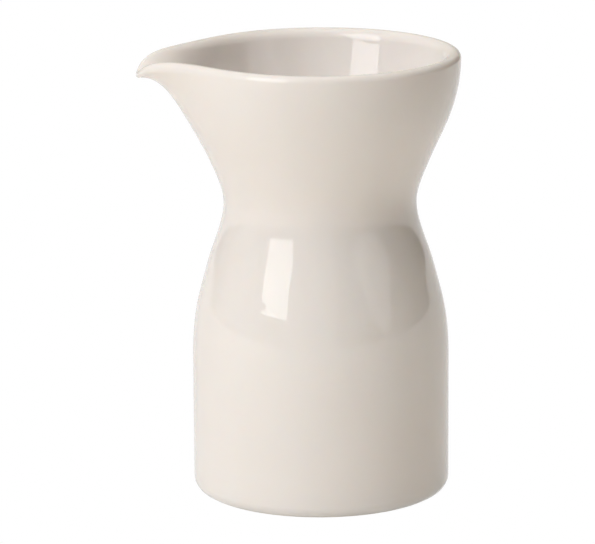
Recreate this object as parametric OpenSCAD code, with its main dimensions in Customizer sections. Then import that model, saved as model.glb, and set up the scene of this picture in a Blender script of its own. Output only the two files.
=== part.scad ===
// Handle-less porcelain cream jug: a waisted carafe with a beak spout drawn out of its rim.
// Millimetres, +Z up. The origin is the centre of the standing face, on the jug's axis,
// and the spout points along -X.

/* [Overall] */
// Height of the rim above the standing face
height = 115; // [112:1:118]
// Outer radius of the straight lower body
body_r = 33.25; // [32.5:0.25:34]
// Outer radius of the waist
waist_r = 24.9; // [24:0.1:26]
// Outer radius of the rim, away from the spout
rim_r = 36.25; // [35.5:0.25:37]

/* [Wall] */
// Thickness of the glazed wall in the body
wall = 3.5; // [3:0.1:4]
// How much the wall thickens on its way up the neck
neck_swell = 1.9; // [1.4:0.1:2.2]
// How much of that it still has at the rim
rim_swell = 0.6; // [0.3:0.1:0.9]
// Height of the roll that rounds the lip off on its inner side
lip_roll = 2.4; // [2:0.1:3.2]
// Thickness of the glazed lip at the tip of the spout
tip_wall = 1.6; // [1.4:0.1:2.4]
// Thickness of the glaze
glaze = 0.3; // [0.2:0.05:0.4]
// Height of the glazed floor inside the jug, above the standing face
floor_z = 5.8; // [5:0.1:7]
// Radius of the corner between the inner floor and the wall
floor_round = 6; // [4:0.5:8]

/* [Spout] */
// How far the tip of the spout stands out beyond the round rim
spout_reach = 11.7; // [9:0.1:13]
// How far the tip dips below the rim
spout_dip = 3.5; // [1:0.1:5]
// Width of the beak, in degrees round the jug
spout_width = 16.7; // [14:0.1:20]
// Width of the dip in its lip, in degrees
dip_width = 7; // [6:0.5:10]
// Width of the thinned stretch of lip, in degrees
thin_width = 9; // [8:0.5:12]
// How late the beak grows out of the neck: higher leaves more of the neck round
spout_growth = 4.5; // [3.5:0.1:5.5]

/* [Foot] */
// Radius of the outer corner at the foot
foot_round = 3; // [2.6:0.1:3.4]
// Depth of the recess under the jug
foot_h = 2; // [1.6:0.1:2.2]
// Width of the foot ring, from the recess to where the outer corner starts
ring_w = 3.9; // [3:0.1:5]
// Height at which the glaze stops above the standing face
bare_h = 0.6; // [0.4:0.1:0.8]

/* [Mesh] */
// Columns of points round the jug
round_steps = 48; // [40:4:52]

/* [Hidden] */

clay_colour = "#e6ddd0";
glaze_colour = "#f1ece4";

waist_z = 0.66 * height;
rim_z = height - wall / 2;
dip_power = 14;
thin_power = 4;
swell_power = 5;
lip_steps = 6;
lower_steps = 8;
upper_steps = 12;
floor_steps = 3;
// How strongly the columns crowd together at the spout, in degrees
crowding = 36;
// Half steps for measuring the wall's slope, in degrees and in mm
angle_probe = 0.05;
height_probe = 0.01;
// Gap that keeps the ring's round flank clear of the flat facets of the glaze round it
flank_gap = 0.12;
// Angle that keeps the ring's bare corner clear of the edge of the glaze
edge_gap = 2;

function mix(from, to, share) = from + (to - from) * share;
function unit(v) = v / norm(v);

// Stations of the outer outline: height, radius and slope
stations = [
    [foot_round, body_r, 0],
    [0.3 * height, body_r, 0],
    [0.45 * height, mix(waist_r, body_r, 0.77), -0.27],
    [0.55 * height, mix(waist_r, body_r, 0.375), -0.36],
    [waist_z, waist_r, 0],
    [0.765 * height, mix(waist_r, rim_r, 0.315), 0.41],
    [0.885 * height, mix(waist_r, rim_r, 0.835), 0.31],
    [rim_z, rim_r, 0]
];

// Cubic curve between two stations
function span(a, b, z) =
    let (h = b.x - a.x, u = (z - a.x) / h)
    (2 * u ^ 3 - 3 * u ^ 2 + 1) * a.y + (u ^ 3 - 2 * u ^ 2 + u) * h * a.z
    + (3 * u ^ 2 - 2 * u ^ 3) * b.y + (u ^ 3 - u ^ 2) * h * b.z;

function station_below(z, i = 0) =
    i < len(stations) - 2 && z > stations[i + 1].x ? station_below(z, i + 1) : i;

function outline_r(z) = let (i = station_below(z)) span(stations[i], stations[i + 1], z);

// A bump that is 1 at the spout and fades to nothing round the jug
function bell(angle, width) = let (e = exp(abs(angle) / width)) 4 / (e + 1 / e) ^ 2;

// Share of the way from the waist up to the rim
function climb(z) = max(0, (z - waist_z) / (rim_z - waist_z));

// Share of the beak's reach that the wall has at this climb
function beak(s) = s * (exp(spout_growth * s) - 1) / (exp(spout_growth) - 1);

// Middle of the wall, at an angle from the spout and a height up the wall
function middle(angle, z) =
    let (
        s = climb(z),
        r = outline_r(z) - wall / 2 + spout_reach * bell(angle, spout_width) * beak(s),
        dip = spout_dip * bell(angle, dip_width) * s ^ dip_power
    )
    [-r * cos(angle), -r * sin(angle), z - dip];

function wall_up(angle, z) =
    unit(middle(angle, z + height_probe) - middle(angle, z - height_probe));

function wall_out(angle, z) =
    unit(cross(middle(angle + angle_probe, z) - middle(angle - angle_probe, z), wall_up(angle, z)));

// From the middle surface out to the glazed outside
function half_wall(angle, z) =
    mix(wall, tip_wall, bell(angle, thin_width) * min(climb(z), 1) ^ thin_power) / 2;

// What the neck is thicker by than the body, all of it inside and none at the spout
function added_wall(angle, z) =
    let (s = climb(z))
    (neck_swell * (1 - cos(180 * s)) / 2 - (neck_swell - rim_swell) * s ^ swell_power)
    * (1 - bell(angle, thin_width));

// From the middle surface to the inside at a depth below the glaze, which rolls over into the lip
function inner_half(angle, z, below_top, depth) =
    let (
        roll = lip_roll * 2 * half_wall(angle, z) / wall - depth,
        lean = max(0, 1 - (below_top - depth) / roll)
    )
    (half_wall(angle, z) + added_wall(angle, z) - depth) * sqrt(max(0, 1 - lean ^ 2));

// Columns round the jug, closest together at the spout
columns = [
    for (i = [0:round_steps - 1])
        let (turn = 360 * (i / round_steps - 0.5)) turn - crowding * sin(turn)
];

// Rows of the wall: one straight band, the shoulder, and the neck with rows closing up to the rim
shoulder_rows = [for (i = [0:lower_steps]) mix(0.3 * height, waist_z, i / lower_steps)];
neck_rows = [for (i = [1:upper_steps]) mix(rim_z, waist_z, (1 - i / upper_steps) ^ 1.35)];
wall_rows = concat(shoulder_rows, neck_rows);

// Angles up the outer corner, from straight down: the glaze's edge, the top of the foot ring
// and one between there and the wall
glaze_edge = acos((foot_round - bare_h) / foot_round);
ring_top = acos((foot_round - foot_h) / (foot_round - glaze));
corner_rows = [glaze_edge, ring_top, (ring_top + 90) / 2];

function on_circle(angle, r, z) = [-r * cos(angle), -r * sin(angle), z];

function foot_corner(angle, a, depth) =
    on_circle(angle, body_r - foot_round + (foot_round - depth) * sin(a),
        foot_round - (foot_round - depth) * cos(a));

function outer_point(angle, z, depth) =
    middle(angle, z) + (half_wall(angle, z) - depth) * wall_out(angle, z);

function inner_point(angle, z, depth) =
    let (below_top = half_wall(angle, rim_z) + rim_z - z)
    middle(angle, z) - inner_half(angle, z, below_top, depth) * wall_out(angle, z);

// Over the lip: a quarter circle outside, then the top of the inner roll
function lip_point(angle, turn, depth) =
    let (
        lip_r = half_wall(angle, rim_z),
        rise = (lip_r - depth) * sin(turn),
        side = turn > 90 ? -inner_half(angle, rim_z + rise, lip_r - rise, depth)
            : (lip_r - depth) * cos(turn)
    )
    middle(angle, rim_z) + side * wall_out(angle, rim_z) + rise * wall_up(angle, rim_z);

function floor_corner(angle, a, depth) =
    on_circle(angle, body_r - wall - floor_round + (floor_round + depth) * cos(a),
        floor_z + floor_round - (floor_round + depth) * sin(a));

// One column of points: up the outer corner and the wall, over the lip, down inside and
// round to the floor, at a depth below the glazed surface
function column(angle, depth, first_row) = concat(
    [for (i = [first_row:len(corner_rows) - 1]) foot_corner(angle, corner_rows[i], depth)],
    [outer_point(angle, foot_round, depth)],
    [for (z = wall_rows) outer_point(angle, z, depth)],
    [for (i = [1:lip_steps - 1]) lip_point(angle, 180 * i / lip_steps, depth)],
    [for (i = [len(wall_rows) - 1:-1:0]) inner_point(angle, wall_rows[i], depth)],
    [for (i = [0:floor_steps]) floor_corner(angle, 90 * i / floor_steps, depth)]
);

function skin_points(depth, first_row) = concat(
    [for (angle = columns) each column(angle, depth, first_row)],
    [[0, 0, floor_z - depth]]
);

// Faces of a skin whose points start at index from, closed over the middle of the floor
function skin_faces(rows, from = 0) =
    let (middle_point = from + round_steps * rows)
    [
        for (i = [0:round_steps - 1])
            let (here = from + i * rows, next = from + (i + 1) % round_steps * rows)
            each concat(
                [for (j = [0:rows - 2]) [here + j, here + j + 1, next + j + 1]],
                [for (j = [0:rows - 2]) [here + j, next + j + 1, next + j]],
                [[here + rows - 1, middle_point, next + rows - 1]]
            )
    ];

function flipped(faces) = [for (face = faces) [face[2], face[1], face[0]]];

function arc(r, z, radius, from, to, steps = 8) = [
    for (i = [0:steps])
        let (a = mix(from, to, i / steps)) [r + radius * sin(a), z - radius * cos(a)]
];

// Floor, wall, neck, rim and beak, cast in one piece of clay
module porcelain_body() {
    points = skin_points(glaze, 1);
    rows = (len(points) - 1) / round_steps;
    under = len(points);
    underside = [
        for (i = [0:round_steps - 1]) [under, i * rows, (i + 1) % round_steps * rows]
    ];
    color(clay_colour)
        polyhedron(concat(points, [[0, 0, foot_h]]), concat(skin_faces(rows), underside));
}

// Bare ground ring that the jug stands on
module foot_ring() {
    corner_r = body_r - foot_round;
    inner_r = corner_r - ring_w;
    edge_round = bare_h;
    flank_round = foot_round - glaze - flank_gap;
    flank_top = acos((foot_round - foot_h) / flank_round);
    color(clay_colour)
        rotate_extrude()
            polygon(concat(
                [[inner_r, foot_h]],
                arc(inner_r + edge_round, edge_round, edge_round, -90, 0),
                arc(corner_r, foot_round, foot_round, 0, glaze_edge - edge_gap),
                arc(corner_r, foot_round, flank_round, glaze_edge - edge_gap, flank_top)
            ));
}

// One continuous coat of glaze: outside, over the lip and inside
module glaze_coat() {
    outer = skin_points(0, 0);
    inner = skin_points(glaze, 0);
    rows = (len(outer) - 1) / round_steps;
    start = len(outer);
    edge = [
        for (i = [0:round_steps - 1])
            let (here = i * rows, next = (i + 1) % round_steps * rows)
            each [[start + here, here, next], [start + here, next, start + next]]
    ];
    color(glaze_colour)
        polyhedron(
            concat(outer, inner),
            concat(skin_faces(rows), flipped(skin_faces(rows, start)), edge)
        );
}

// Glaze on the ceiling of the recess, drawn up in a fillet against the ring
module base_glaze() {
    inner_r = body_r - foot_round - ring_w;
    fillet = 0.8;
    color(glaze_colour)
        rotate_extrude()
            polygon(concat(
                [[0, foot_h], [0, foot_h - glaze]],
                arc(inner_r - glaze / 2 - fillet, foot_h - glaze - fillet, fillet, 180, 90),
                [[inner_r, foot_h - glaze - fillet], [inner_r, foot_h]]
            ));
}

porcelain_body();
foot_ring();
glaze_coat();
base_glaze();
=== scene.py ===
"""Looks of the porcelain cream jug: glazed wall, ground foot ring and recess glaze, in metres.

The frame is the CAD model's: +Z up, standing face at z = 0, spout towards -X.
"""

import math

import bpy
import numpy as np
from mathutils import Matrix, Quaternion, Vector


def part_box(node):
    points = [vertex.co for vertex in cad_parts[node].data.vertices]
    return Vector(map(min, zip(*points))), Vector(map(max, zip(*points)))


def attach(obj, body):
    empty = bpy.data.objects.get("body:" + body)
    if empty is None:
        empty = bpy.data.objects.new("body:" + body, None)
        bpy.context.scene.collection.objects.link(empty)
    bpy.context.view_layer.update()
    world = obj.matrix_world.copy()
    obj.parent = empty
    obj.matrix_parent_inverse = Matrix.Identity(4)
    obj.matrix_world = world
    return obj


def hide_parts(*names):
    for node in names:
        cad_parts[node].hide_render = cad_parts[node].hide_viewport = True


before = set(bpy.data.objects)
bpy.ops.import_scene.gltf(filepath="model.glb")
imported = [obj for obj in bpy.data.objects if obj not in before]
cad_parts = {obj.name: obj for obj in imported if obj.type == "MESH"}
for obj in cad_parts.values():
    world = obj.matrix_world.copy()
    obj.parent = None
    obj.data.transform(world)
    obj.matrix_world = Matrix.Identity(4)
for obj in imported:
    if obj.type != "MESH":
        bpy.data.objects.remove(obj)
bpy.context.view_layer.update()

MM = 0.001

# --- Sizes, in metres and degrees ---------------------------------------------------------

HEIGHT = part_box("glaze_coat")[1].z
RIM_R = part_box("glaze_coat")[1].x
RING_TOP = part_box("foot_ring")[1].z
BODY_R = 33.25 * MM
WAIST_R = 24.9 * MM
WALL = 3.5 * MM
NECK_SWELL = 1.9 * MM
RIM_SWELL = 0.6 * MM
TIP_WALL = 1.6 * MM
LIP_ROLL = 2.4 * MM
GLAZE = 0.3 * MM
FLOOR_Z = 5.8 * MM
FLOOR_ROUND = 6 * MM
SPOUT_REACH = 11.7 * MM
SPOUT_DIP = 3.5 * MM
SPOUT_WIDTH = 16.7
DIP_WIDTH = 7
THIN_WIDTH = 9
SPOUT_GROWTH = 4.5
DIP_POWER = 14
THIN_POWER = 4
SWELL_POWER = 5
FOOT_ROUND = 3 * MM
RING_W = 3.9 * MM
BARE_H = 0.6 * MM

WAIST_Z = 0.66 * HEIGHT
RIM_Z = HEIGHT - WALL / 2
CORNER_R = BODY_R - FOOT_ROUND
RECESS_R = CORNER_R - RING_W

COLUMNS = 320


def mix(a, b, share):
    return a + (b - a) * share


# Stations of the outer outline: height, radius and slope
STATIONS = [
    (FOOT_ROUND, BODY_R, 0),
    (0.3 * HEIGHT, BODY_R, 0),
    (0.45 * HEIGHT, mix(WAIST_R, BODY_R, 0.77), -0.27),
    (0.55 * HEIGHT, mix(WAIST_R, BODY_R, 0.375), -0.36),
    (WAIST_Z, WAIST_R, 0),
    (0.765 * HEIGHT, mix(WAIST_R, RIM_R, 0.315), 0.41),
    (0.885 * HEIGHT, mix(WAIST_R, RIM_R, 0.835), 0.31),
    (RIM_Z, RIM_R, 0),
]

# --- Shape of the wall --------------------------------------------------------------------


def outline_r(z):
    """Outer radius at a height, by one cubic between each pair of stations."""
    radius = np.full_like(z, BODY_R)
    for (z0, r0, slope0), (z1, r1, slope1) in zip(STATIONS, STATIONS[1:]):
        h = z1 - z0
        u = (z - z0) / h
        curve = (
            (2 * u**3 - 3 * u**2 + 1) * r0
            + (u**3 - 2 * u**2 + u) * h * slope0
            + (3 * u**2 - 2 * u**3) * r1
            + (u**3 - u**2) * h * slope1
        )
        radius = np.where(z >= z0, curve, radius)
    return radius


def bell(angle, width):
    """A bump that is 1 at the spout and fades to nothing round the jug."""
    return 1 / np.cosh(angle / width) ** 2


def climb(z):
    return np.maximum(0, (z - WAIST_Z) / (RIM_Z - WAIST_Z))


def beak(s):
    return s * np.expm1(SPOUT_GROWTH * s) / math.expm1(SPOUT_GROWTH)


def on_circle(angle, radius, z):
    """Points at angles from the spout, in degrees."""
    turn = np.radians(angle)
    return np.stack([-radius * np.cos(turn), -radius * np.sin(turn), z + 0 * turn], -1)


def middle(angle, z):
    """Middle of the wall at an angle from the spout and a height up the wall."""
    s = climb(z)
    reach = SPOUT_REACH * bell(angle, SPOUT_WIDTH) * beak(s)
    dip = SPOUT_DIP * bell(angle, DIP_WIDTH) * s**DIP_POWER
    return on_circle(angle, outline_r(z) - WALL / 2 + reach, z - dip)


def unit(v):
    return v / np.linalg.norm(v, axis=-1, keepdims=True)


def wall_up(angle, z):
    step = 0.01 * MM
    return unit(middle(angle, z + step) - middle(angle, z - step))


def wall_out(angle, z):
    step = 0.05
    across = middle(angle + step, z) - middle(angle - step, z)
    return unit(np.cross(across, wall_up(angle, z)))


def half_wall(angle, z):
    """Distance from the middle surface out to the glazed outside."""
    share = bell(angle, THIN_WIDTH) * np.minimum(climb(z), 1) ** THIN_POWER
    return mix(WALL, TIP_WALL, share) / 2


def added_wall(angle, z):
    """What the neck is thicker by than the body, all of it on the inside and none at the spout."""
    s = climb(z)
    swell = NECK_SWELL * (1 - np.cos(math.pi * s)) / 2 - (NECK_SWELL - RIM_SWELL) * s**SWELL_POWER
    return swell * (1 - bell(angle, THIN_WIDTH))


def inner_half(angle, z, below_top):
    """Distance from the middle surface to the glazed inside, which rolls over into the lip."""
    roll = LIP_ROLL * half_wall(angle, z) / (WALL / 2)
    closing = np.sqrt(1 - np.clip(1 - below_top / roll, 0, 1) ** 2)
    return (half_wall(angle, z) + added_wall(angle, z)) * closing


def waver(angle, *waves):
    """A slow unevenness round the jug: each wave is its count round, its size and its phase."""
    return sum(size * np.sin(np.radians(count * angle + phase)) for count, size, phase in waves)


# --- Meshes -------------------------------------------------------------------------------


def crowded_columns():
    """Angles round the jug from the spout, twice as close together there as behind."""
    turn = np.linspace(-180, 180, COLUMNS, endpoint=False)
    return turn - 20 * np.sin(np.radians(turn))


def turned_mesh(name, rows, body_slot, *stands_for):
    """One closed mesh from rows of points round the axis; the first and last rows close on it."""
    rows = [np.broadcast_to(row, (COLUMNS, 3)) for row in rows]
    count = len(rows)
    ends = [rows[0].mean(0) * (0, 0, 1), rows[-1].mean(0) * (0, 0, 1)]
    points = np.concatenate([np.concatenate(rows), ends])
    start, end = count * COLUMNS, count * COLUMNS + 1
    here = np.arange(COLUMNS)
    following = (here + 1) % COLUMNS
    faces = []
    for j in range(count - 1):
        low, high = j * COLUMNS, (j + 1) * COLUMNS
        faces += np.stack([low + here, low + following, high + following, high + here], 1).tolist()
    last = (count - 1) * COLUMNS
    faces += [[start, b, a] for a, b in zip(here.tolist(), following.tolist())]
    faces += [[last + a, last + b, end] for a, b in zip(here.tolist(), following.tolist())]
    mesh = bpy.data.meshes.new(name)
    mesh.from_pydata(points.tolist(), [], faces)
    mesh.shade_smooth()
    piece = bpy.data.objects.new(name, mesh)
    bpy.context.scene.collection.objects.link(piece)
    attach(piece, "root")
    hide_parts(*stands_for)
    return piece


def glazed_wall():
    """Wall, neck, rim, beak and inner floor under one coat of glaze, with a rolled glaze edge."""
    angle = crowded_columns()
    glaze_edge = math.degrees(math.acos((FOOT_ROUND - BARE_H) / FOOT_ROUND))
    glaze_edge = glaze_edge + waver(angle, (3, 0.9, 20), (7, 0.5, 130), (16, 0.35, 250))
    bead_angle = 3.5
    bead = 0.05 * MM

    def foot_corner(a, depth):
        radius = FOOT_ROUND - depth
        turn = np.radians(a)
        return on_circle(angle, CORNER_R + radius * np.sin(turn), FOOT_ROUND - radius * np.cos(turn))

    under_r = CORNER_R + 0.8 * FOOT_ROUND
    rows = [on_circle(angle, r, RING_TOP + 0.02 * MM) for r in np.linspace(0.2, 1, 5) * under_r]
    rows.append(foot_corner(glaze_edge + 6, GLAZE))
    rows.append(foot_corner(glaze_edge, GLAZE))
    for turn in np.linspace(0, 90, 6):
        share = math.sin(math.radians(turn))
        back = bead_angle * (1 - math.cos(math.radians(turn)))
        rows.append(foot_corner(glaze_edge - 0.5 + back, mix(GLAZE / 2, -bead, share)))
    for share in (0.25, 0.5, 0.75, 1):
        rise = (1 + math.cos(math.pi * share)) / 2
        rows.append(foot_corner(glaze_edge + bead_angle + 14 * share, -bead * rise))
    first = glaze_edge + bead_angle + 14
    for share in np.linspace(0, 1, 13)[1:-1]:
        rows.append(foot_corner(mix(first, 90, share), 0))

    lower = np.linspace(FOOT_ROUND, 0.3 * HEIGHT, 18)
    shoulder = np.linspace(0.3 * HEIGHT, WAIST_Z, 44)[1:]
    neck = mix(RIM_Z, WAIST_Z, (1 - np.linspace(0, 1, 64)[1:]) ** 1.3)
    outside = np.concatenate([lower, shoulder, neck])
    inside = outside[outside > FLOOR_Z + FLOOR_ROUND + 0.5 * MM]
    for z in outside:
        height = np.full_like(angle, z)
        side = half_wall(angle, height)[:, None] * wall_out(angle, height)
        rows.append(middle(angle, height) + side)
    top = np.full_like(angle, RIM_Z)
    lip_r = half_wall(angle, top)
    for turn in np.radians(np.linspace(0, 180, 31)[1:-1]):
        rise = lip_r * math.sin(turn)
        side = lip_r * math.cos(turn)
        if turn > math.pi / 2:
            side = -inner_half(angle, top + rise, lip_r - rise)
        bend = side[:, None] * wall_out(angle, top) + rise[:, None] * wall_up(angle, top)
        rows.append(middle(angle, top) + bend)
    for z in inside[::-1]:
        height = np.full_like(angle, z)
        side = inner_half(angle, height, lip_r + RIM_Z - z)
        rows.append(middle(angle, height) - side[:, None] * wall_out(angle, height))
    floor_r = BODY_R - WALL - FLOOR_ROUND
    for turn in np.radians(np.linspace(0, 90, 15)):
        rise = FLOOR_Z + FLOOR_ROUND * (1 - math.sin(turn))
        rows.append(on_circle(angle, floor_r + FLOOR_ROUND * math.cos(turn), rise))
    for share in (0.85, 0.7, 0.55, 0.4, 0.25, 0.1):
        rows.append(on_circle(angle, floor_r * share, FLOOR_Z))
    return turned_mesh("glazed_wall", rows, "cream_glaze", "porcelain_body", "glaze_coat")


def ground_foot():
    """The bare ring that the jug stands on, ground flat, with a slightly uneven inner edge."""
    angle = crowded_columns()
    inner_edge = BARE_H * (1 + waver(angle, (2, 0.12, 40), (5, 0.10, 200), (11, 0.06, 75)))
    rows = [on_circle(angle, RECESS_R, z) for z in np.linspace(RING_TOP, 0.9 * MM, 6)]
    for turn in np.radians(np.linspace(0, 90, 7)):
        spread = inner_edge * (1 - math.cos(turn))
        rows.append(on_circle(angle, RECESS_R + spread, inner_edge * (1 - math.sin(turn))))
    for share in np.linspace(0, 1, 8)[1:]:
        rows.append(on_circle(angle, mix(RECESS_R + inner_edge, CORNER_R, share), 0))
    for turn in np.radians(np.linspace(0, 44, 12)[1:]):
        rise = FOOT_ROUND * (1 - math.cos(turn))
        rows.append(on_circle(angle, CORNER_R + FOOT_ROUND * math.sin(turn), rise))
    rows.append(on_circle(angle, CORNER_R + 0.6 * FOOT_ROUND, RING_TOP - 0.2 * MM))
    rows.append(on_circle(angle, CORNER_R + 0.5 * FOOT_ROUND, RING_TOP))
    return turned_mesh("ground_foot", rows, "ground_foot", "foot_ring")


def recess_glaze():
    """Glaze on the ceiling of the recess, drawn up against the ring in a fillet."""
    angle = crowded_columns()
    fillet = 0.8 * MM
    edge = waver(angle, (3, 0.06 * MM, 300), (8, 0.04 * MM, 15))
    ceiling = RING_TOP - GLAZE
    rows = [on_circle(angle, RECESS_R, RING_TOP)]
    rows.append(on_circle(angle, RECESS_R, ceiling - fillet + edge))
    for turn in np.radians(np.linspace(0, 90, 10)):
        radius = RECESS_R - GLAZE / 4 - fillet * (1 - math.cos(turn))
        rows.append(on_circle(angle, radius, ceiling - (fillet - edge) * (1 - math.sin(turn))))
    for share in np.linspace(0.95, 0.05, 14):
        rows.append(on_circle(angle, (RECESS_R - GLAZE / 4 - fillet) * share, ceiling))
    return turned_mesh("recess_glaze", rows[::-1], "recess_glaze", "base_glaze")


# --- Materials ----------------------------------------------------------------------------


def new_material(name):
    """A material's node tree and its Principled shader."""
    material = bpy.data.materials.new(name)
    material.use_nodes = True
    return material, material.node_tree, material.node_tree.nodes["Principled BSDF"]


def place_of(tree):
    """Object coordinates, in metres."""
    return tree.nodes.new("ShaderNodeTexCoord").outputs["Object"]


def noise(tree, place, per_metre, detail=2.0):
    node = tree.nodes.new("ShaderNodeTexNoise")
    node.inputs["Scale"].default_value = per_metre
    node.inputs["Detail"].default_value = detail
    tree.links.new(place, node.inputs["Vector"])
    return node.outputs["Fac"]


def remap(tree, value, low, high, to_low, to_high):
    node = tree.nodes.new("ShaderNodeMapRange")
    node.interpolation_type = "SMOOTHSTEP"
    for name, number in zip(("From Min", "From Max", "To Min", "To Max"), (low, high, to_low, to_high)):
        node.inputs[name].default_value = number
    tree.links.new(value, node.inputs["Value"])
    return node.outputs["Result"]


def math_node(tree, operation, a, b):
    node = tree.nodes.new("ShaderNodeMath")
    node.operation = operation
    for socket, value in zip(node.inputs, (a, b)):
        if isinstance(value, (int, float)):
            socket.default_value = value
        else:
            tree.links.new(value, socket)
    return node.outputs["Value"]


def blend_colours(tree, share, first, second):
    node = tree.nodes.new("ShaderNodeMix")
    node.data_type = "RGBA"
    sockets = [socket for socket in node.inputs if socket.type == "RGBA"]
    for socket, value in zip(sockets, (first, second)):
        if isinstance(value, tuple):
            socket.default_value = (*value, 1)
        else:
            tree.links.new(value, socket)
    factor = next(socket for socket in node.inputs if socket.type == "VALUE")
    tree.links.new(share, factor)
    return next(socket for socket in node.outputs if socket.type == "RGBA")


def bump(tree, height, depth, under=None):
    """A bump of this depth in metres, on top of another bump if one is given."""
    node = tree.nodes.new("ShaderNodeBump")
    node.inputs["Strength"].default_value = 1
    node.inputs["Distance"].default_value = depth
    tree.links.new(height, node.inputs["Height"])
    if under is not None:
        tree.links.new(under, node.inputs["Normal"])
    return node.outputs["Normal"]


def specks(tree, place, per_metre, size, share):
    """Tiny round spots of value 1, one in this share of the cells; size is a share of a cell."""
    node = tree.nodes.new("ShaderNodeTexVoronoi")
    node.inputs["Scale"].default_value = per_metre
    tree.links.new(place, node.inputs["Vector"])
    spot = remap(tree, node.outputs["Distance"], size * 0.5, size, 1, 0)
    split = tree.nodes.new("ShaderNodeSeparateColor")
    tree.links.new(node.outputs["Color"], split.inputs["Color"])
    chosen = math_node(tree, "LESS_THAN", split.outputs["Red"], share)
    return math_node(tree, "MULTIPLY", spot, chosen)


def glaze_material(name, colour, deep_colour, speck_colour):
    """Clear glossy glaze over cream-white porcelain: faint tone drift, specks and a slow ripple."""
    material, tree, shader = new_material(name)
    place = place_of(tree)
    drift = remap(tree, noise(tree, place, 28), 0.3, 0.7, 0, 1)
    body = blend_colours(tree, drift, colour, deep_colour)
    spots = specks(tree, place, 61, 0.014, 0.16)
    body = blend_colours(tree, math_node(tree, "MULTIPLY", spots, 0.7), body, speck_colour)
    tree.links.new(body, shader.inputs["Base Color"])
    smudge = remap(tree, noise(tree, place, 60, 4), 0.35, 0.75, 0.008, 0.02)
    tree.links.new(smudge, shader.inputs["Roughness"])
    ripple = bump(tree, noise(tree, place, 130, 1), 0.006 * MM)
    peel = bump(tree, noise(tree, place, 900, 2), 0.0004 * MM, ripple)
    pits = math_node(tree, "SUBTRACT", 1.0, specks(tree, place, 230, 0.03, 0.03))
    tree.links.new(bump(tree, pits, 0.001 * MM, peel), shader.inputs["Normal"])
    shader.inputs["IOR"].default_value = 1.5
    shader.inputs["Subsurface Weight"].default_value = 0.25
    shader.inputs["Subsurface Radius"].default_value = (1.0, 0.75, 0.55)
    shader.inputs["Subsurface Scale"].default_value = 2.5 * MM
    return material


def clay_material():
    """Bare ground porcelain: matte, fine-grained, with faint turning marks and grey from use."""
    material, tree, shader = new_material("bare_porcelain")
    place = place_of(tree)
    grain = noise(tree, place, 2600, 3)
    patches = remap(tree, noise(tree, place, 90, 3), 0.35, 0.7, 0, 1)
    body = blend_colours(tree, patches, (0.80, 0.75, 0.68), (0.72, 0.67, 0.60))
    dots = specks(tree, place, 420, 0.10, 0.12)
    body = blend_colours(tree, math_node(tree, "MULTIPLY", dots, 0.5), body, (0.32, 0.25, 0.18))
    tree.links.new(body, shader.inputs["Base Color"])
    tree.links.new(remap(tree, grain, 0.3, 0.7, 0.55, 0.75), shader.inputs["Roughness"])
    rings = tree.nodes.new("ShaderNodeTexWave")
    rings.wave_type = "RINGS"
    rings.rings_direction = "Z"
    rings.inputs["Scale"].default_value = 700
    rings.inputs["Distortion"].default_value = 1.5
    rings.inputs["Detail"].default_value = 3
    tree.links.new(place, rings.inputs["Vector"])
    marks = bump(tree, rings.outputs["Fac"], 0.004 * MM)
    tree.links.new(bump(tree, grain, 0.010 * MM, marks), shader.inputs["Normal"])
    return material


# --- Stage --------------------------------------------------------------------------------

CAMERA_AZIMUTH = -3.76
CAMERA_ELEVATION = 13.47
CAMERA_ROLL = -0.35
CAMERA_DISTANCE = 1060.9 * MM
LENS_MM = 247.95
SENSOR_MM = 36
AIM_Z = 57.5 * MM
AIM_LEFT = 5.94 * MM
AIM_DOWN = 0.52 * MM


def direction(azimuth, elevation):
    """Unit vector to a place round the jug; azimuth 0 is the camera's side, positive its right."""
    a, e = math.radians(azimuth + CAMERA_AZIMUTH), math.radians(elevation)
    return Vector((math.sin(a) * math.cos(e), -math.cos(a) * math.cos(e), math.sin(e)))


def rolled(back, roll):
    """Rotation that points local +Z along a vector, turned about it by an angle in degrees."""
    return back.to_track_quat("Z", "Y") @ Quaternion((0, 0, 1), math.radians(roll))


# The floor is three flat sheets in one place. What the camera sees is plain white, what the
# glaze mirrors is a little dimmer, and what throws light back up at the jug is a matte white.
FLOOR_HALF = 5.0
SHEET_GAP = 0.02 * MM
WHITE = (1, 1, 1)
COOL = (0.985, 0.995, 1)
WARM = (1, 0.91, 0.78)
SOFT_WARM = (1, 0.965, 0.90)
BOUNCE = (0.86, 0.83, 0.78)
BLACK = (0, 0, 0)
MIRRORED_FLOOR = 0.85
ROOM_GLOW = 0.10
BOUNCE_GLOW = 0.05


def stage_sheet(name, corners, glow, colour, albedo, seen_by):
    """A flat sheet of the studio; `seen_by` is who meets it: the camera, the glaze or soft light."""
    mesh = bpy.data.meshes.new(name)
    mesh.from_pydata(corners, [], [(0, 1, 2, 3)])
    sheet = bpy.data.objects.new(name, mesh)
    bpy.context.scene.collection.objects.link(sheet)
    material, tree, shader = new_material(name + "_white")
    shader.inputs["Base Color"].default_value = (*albedo, 1)
    shader.inputs["Roughness"].default_value = 0.9
    shader.inputs["Specular IOR Level"].default_value = 0
    shader.inputs["Emission Color"].default_value = (*colour, 1)
    shader.inputs["Emission Strength"].default_value = glow
    mesh.materials.append(material)
    sheet.visible_camera = seen_by == "camera"
    sheet.visible_glossy = seen_by == "glaze"
    sheet.visible_diffuse = seen_by == "soft"
    sheet.visible_shadow = False


def floor_corners(z):
    half = FLOOR_HALF
    return [(-half, -half, z), (half, -half, z), (half, half, z), (-half, half, z)]


def pale_floor():
    stage_sheet("floor_bounce", floor_corners(0), BOUNCE_GLOW, WARM, BOUNCE, "soft")
    stage_sheet("floor_mirrored", floor_corners(-SHEET_GAP), MIRRORED_FLOOR, WHITE, BLACK, "glaze")
    stage_sheet("floor", floor_corners(-2 * SHEET_GAP), 1, WHITE, BLACK, "camera")


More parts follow.
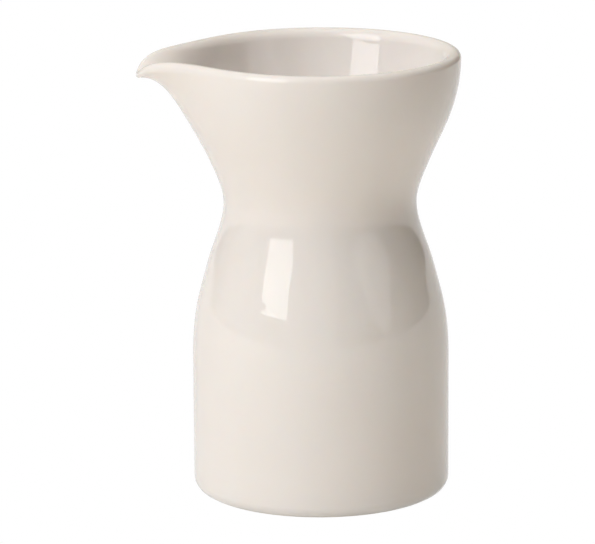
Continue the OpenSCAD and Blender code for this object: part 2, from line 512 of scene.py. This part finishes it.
# Each light: azimuth and elevation of its middle, width, height, distance, roll, the radiance
# that lights the jug, the radiance that the glaze mirrors, and the colour.
LIGHTS = {
    "key_softbox": (-47, 35.7, 0.77, 1.29, 1.5, 4, 3.8, 4.0, COOL),
    "right_panel": (60, 22.5, 0.86, 0.86, 1.5, 45, 0, 0.85, COOL),
    "front_wall": (-12, 13.5, 1.6, 0.84, 1.6, 0, 0.46, 0.4, COOL),
    "left_wall": (-88, 13.5, 1.6, 0.84, 1.6, 0, 0.25, 0.2, COOL),
    "left_back": (-140, 13.5, 1.3, 0.84, 1.6, 0, 0, 0.25, WARM),
    "back_wall": (180, 13.5, 1.3, 0.84, 1.6, 0, 0.4, 0.45, WARM),
    "top_left": (-110, 50, 1.5, 0.9, 1.7, 0, 0.5, 0, COOL),
    "top_right": (85, 60, 1.3, 0.8, 1.7, 0, 0, 0.7, WARM),
    "top_back": (180, 50, 1.8, 0.9, 1.7, 0, 0.85, 0.35, WARM),
    "overhead": (0, 89.9, 1.2, 1.2, 1.8, 0, 2.75, 0.8, SOFT_WARM),
}


def panel_place(azimuth, elevation, distance, roll):
    """Middle of a panel that faces the jug, and the turn that faces it that way."""
    middle = Vector((0, 0, AIM_Z)) + direction(azimuth, elevation) * distance
    return middle, rolled(direction(azimuth, elevation), roll)


def panel_light(name, azimuth, elevation, width, height, distance, roll, radiance, colour):
    """The soft light of a panel. Neither the camera nor the glaze sees the lamp itself."""
    data = bpy.data.lights.new(name, "AREA")
    data.shape = "RECTANGLE"
    data.size = width
    data.size_y = height
    data.color = colour
    data.energy = radiance * math.pi * width * height
    lamp = bpy.data.objects.new(name, data)
    lamp.rotation_mode = "QUATERNION"
    lamp.location, lamp.rotation_quaternion = panel_place(azimuth, elevation, distance, roll)
    lamp.visible_camera = False
    lamp.visible_glossy = False
    bpy.context.scene.collection.objects.link(lamp)
    return lamp


def panel_image(name, azimuth, elevation, width, height, distance, roll, radiance, colour):
    """The bright face of a panel, which only the glaze mirrors."""
    middle, turn = panel_place(azimuth, elevation, distance, roll)
    across = turn @ Vector((width / 2, 0, 0))
    up = turn @ Vector((0, height / 2, 0))
    corners = [middle - across - up, middle + across - up, middle + across + up, middle - across + up]
    stage_sheet(name + "_face", corners, radiance, colour, BLACK, "glaze")


def studio():
    for name, (*place, lit, mirrored, colour) in LIGHTS.items():
        if lit:
            panel_light(name, *place, lit, colour)
        if mirrored:
            panel_image(name, *place, mirrored, colour)
    world = bpy.data.worlds.new("studio")
    world.use_nodes = True
    glow = tuple(ROOM_GLOW * channel for channel in WARM)
    world.node_tree.nodes["Background"].inputs["Color"].default_value = (*glow, 1)
    bpy.context.scene.world = world
    world.cycles_visibility.glossy = False
    bpy.context.scene.view_settings.view_transform = "Standard"


def camera():
    """A long lens a little above the rim, aimed just left of the jug's middle."""
    data = bpy.data.cameras.new("camera")
    data.sensor_width = SENSOR_MM
    data.lens = LENS_MM
    view = bpy.data.objects.new("camera", data)
    back = direction(0, CAMERA_ELEVATION)
    target = Vector((0, 0, AIM_Z))
    view.location = target + back * CAMERA_DISTANCE
    facing = back.to_track_quat("Z", "Y")
    right, up = facing @ Vector((1, 0, 0)), facing @ Vector((0, 1, 0))
    aim = target - right * AIM_LEFT - up * AIM_DOWN
    view.rotation_mode = "QUATERNION"
    view.rotation_quaternion = rolled(view.location - aim, CAMERA_ROLL)
    data.clip_start = 0.05
    data.clip_end = 30
    bpy.context.scene.collection.objects.link(view)
    bpy.context.scene.camera = view


cream = glaze_material("cream_glaze", (0.932, 0.886, 0.858), (0.917, 0.866, 0.834), (0.30, 0.22, 0.15))
pooled = glaze_material("recess_glaze", (0.86, 0.82, 0.77), (0.83, 0.785, 0.73), (0.28, 0.20, 0.13))
glazed_wall().data.materials.append(cream)
ground_foot().data.materials.append(clay_material())
recess_glaze().data.materials.append(pooled)
pale_floor()
studio()
camera()
